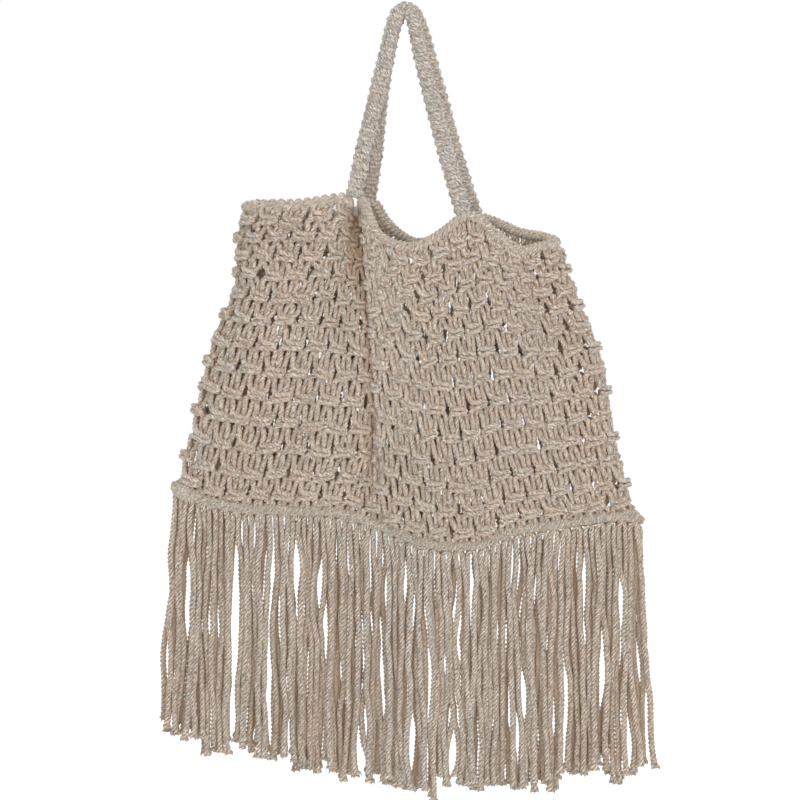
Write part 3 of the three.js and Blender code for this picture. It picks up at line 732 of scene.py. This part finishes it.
# Each folded cord hangs as two strands from an arch under the bar
def strandPaths(side, dice, clumpDice):
    phases = clumpDice.uniform(0, 2 * math.pi, len(fringe["clumps"]))
    evenStops = np.linspace(fringe["evenFrom"], 1, fringe["stops"])
    stops = np.concatenate([fringe["upperStops"], evenStops])
    grow = np.clip(stops * fringe["growRate"], 0, 1)
    most, ease = fringe["wanderMost"], fringe["partEase"]
    paths, ends, legs = [], [], []
    for k in range(fringe["strands"]):
        column = (k + 0.5) / cordsPerKnot
        top = barPoint(np.array(column), side)
        top[2] -= fromTable(fringe["archDrop"], column)
        hem = hemLine(column)
        hem[1] += side * net["barSpacing"] / 2
        ragged = fringe["ragged"] * np.clip(dice.normal(), *fringe["raggedMost"])
        hem[2] = fromTable(fringe["tips"], hem[0]) + ragged
        leg = top + (hem - top) * stops[:, None]
        clump = np.zeros(len(stops))
        for (wide, tall, strength), phase in zip(fringe["clumps"], phases):
            clump += strength * np.sin(2 * math.pi * (leg[:, 0] / wide + leg[:, 2] / tall) + phase)
        wander = np.cumsum(np.clip(dice.normal(0, 1, (len(stops), 2)), -most, most), axis=0)
        wander -= wander[:1]
        wander *= np.minimum(stops * fringe["wanderRate"], 1)[:, None]
        leg[:, 0] += clump * grow + fringe["wander"] * wander[:, 0]
        for x, upper, lower, half in fringe["partings"]:
            share = np.clip((upper + ease - leg[:, 2]) / (upper - lower + 2 * ease), 0, 1)
            inside = np.sin(math.pi * share)
            aside = leg[:, 0] - x
            sideOf = np.sign(np.sum(aside * inside))
            push = half + fringe["partShare"] * fringe["cordRadius"]
            push = push * np.maximum(inside, 0) ** fringe["partCurve"] * grow
            away = np.maximum(aside * sideOf, -fringe["partCross"]) / fringe["partReach"]
            leg[:, 0] += sideOf * push * np.exp(-away)
        layer = fringe["layer"] * (k % fringe["layers"] - 1)
        leg[:, 1] += side * fringe["sway"] * np.sin(math.pi * stops) + layer * grow
        leg[:, 1] += np.clip(fringe["wander"] * wander[:, 1], -fringe["deepMost"], fringe["deepMost"])
        legs.append(leg)
    for left, right in zip(legs[::2], legs[1::2]):
        arch = (left[0] + right[0]) / 2 + (0, 0, fringe["archRise"])
        way = curveThrough(np.vstack([left[::-1], arch, right]), fringe["perSpan"])
        run = lengthAlong(way)
        toEnd = np.minimum(run, run[-1] - run)
        toBar = np.abs(run - run[-1] / 2)
        flare = 1 + fringe["flare"] * np.clip(1 - toEnd / fringe["flareReach"], 0, 1)
        neck = 1 - fringe["neck"] * np.clip(1 - toBar / fringe["neckReach"], 0, 1)
        radius = fringe["cordRadius"] * (1 + fringe["uneven"] * dice.normal()) * flare * neck
        path = evenSteps(way, radius, fringe["step"])
        paths.append(path)
        ends += [path[0], path[-1]]
    return paths, np.array(ends)


# Loose fibres that spread from the cut end of each strand. Pairs are the least and the most
fray = {
    "fibres": 12, "length": 3.4, "share": (0.35, 1), "out": (0.2, 0.95), "spread": (0.1, 0.8),
    "rootAbove": 2.5, "tipBelow": 1, "bend": 0.5, "radius": 0.5, "taper": (2.2, 1.6, 0.5),
}


def fibrePaths(ends, dice):
    paths = []
    for x, y, z, radius in ends:
        for _ in range(fray["fibres"]):
            angle = dice.uniform(0, 2 * math.pi)
            out = radius * dice.uniform(*fray["out"])
            length = fray["length"] * dice.uniform(*fray["share"])
            spread = dice.uniform(*fray["spread"]) * length
            root = np.array([x + out * math.cos(angle), y + out * math.sin(angle), z + fray["rootAbove"]])
            tip = root + (spread * math.cos(angle), spread * math.sin(angle), -length - fray["tipBelow"])
            bend = (root + tip) / 2 + dice.normal(0, fray["bend"], 3)
            way = np.array([root, bend, tip])
            paths.append(np.column_stack([way, fray["radius"] * np.array(fray["taper"])]))
    return paths


for side, y in (("Front", -1), ("Back", 1)):
    strands, ends = strandPaths(y, dice, np.random.default_rng(5))
    mesh = twistedCords("fringe" + side, strands + fibrePaths(ends, dice), dice,
                        fringe["lay"], fringe["groove"])
    addPiece("fringe" + side, mesh, fringeCotton, "fringe_" + side.lower())

# Floor, light and camera
studio = {
    "floorDrop": 0.36, "floorRadius": 14, "floorSides": 64, "floorRoughness": 0.9, "world": 1.0,
    # name, place, aim, size, watts
    "lights": [
        ("key", (0.3, -2.9, 0.3), (0, 0, -0.35), 1.4, 16),
        ("top", (0, -1.3, 1.5), (0, 0, -0.2), 1.0, 9),
        ("fill", (0.05, -2.65, 0.08), (0, 0, -0.35), 0.6, 16),
        ("side", (1.3, -2.3, -0.1), (0, 0, -0.3), 1.4, 9),
        ("back", (-0.6, 2.6, 1.1), (0, 0, -0.35), 1.2, 22)],
    "cameraPlace": (-0.0034, -2.3821, -0.0302), "cameraTilt": 83, "sensor": 36, "lens": 127.06,
}
floorMesh = bpy.data.meshes.new("floor")
spokes = np.linspace(0, 2 * math.pi, studio["floorSides"], endpoint=False)
edge = [(studio["floorRadius"] * math.cos(a), studio["floorRadius"] * math.sin(a), 0) for a in spokes]
floorMesh.from_pydata(edge, [], [list(range(len(edge)))])
floor = bpy.data.objects.new("floor", floorMesh)
floor.location.z = packedBox[0][2] - studio["floorDrop"]
bpy.context.collection.objects.link(floor)
floorPaint = bpy.data.materials.new("floorPaint")
floorPaint.use_nodes = True
paint = floorPaint.node_tree.nodes["Principled BSDF"]
paint.inputs["Base Color"].default_value = (1, 1, 1, 1)
paint.inputs["Roughness"].default_value = studio["floorRoughness"]
floorMesh.materials.append(floorPaint)

world = bpy.data.worlds.new("studio")
bpy.context.scene.world = world
world.use_nodes = True
sky = world.node_tree.nodes["Background"]
sky.inputs["Color"].default_value = (1, 1, 1, 1)
sky.inputs["Strength"].default_value = studio["world"]

for name, place, aim, size, watts in studio["lights"]:
    lamp = bpy.data.lights.new(name, "AREA")
    lamp.size = size
    lamp.energy = watts
    holder = bpy.data.objects.new(name, lamp)
    holder.location = place
    bpy.context.collection.objects.link(holder)
    x, y, z = (a - p for a, p in zip(aim, place))
    holder.rotation_euler = (math.atan2(math.hypot(x, y), -z), 0, math.atan2(y, x) - math.pi / 2)

camera = bpy.data.objects.new("camera", bpy.data.cameras.new("camera"))
camera.location = studio["cameraPlace"]
camera.rotation_euler = (math.radians(studio["cameraTilt"]), 0, 0)
camera.data.sensor_width = studio["sensor"]
camera.data.lens = studio["lens"]
bpy.context.collection.objects.link(camera)
bpy.context.scene.camera = camera
bpy.context.scene.view_settings.view_transform = "Standard"
print("studio is set")
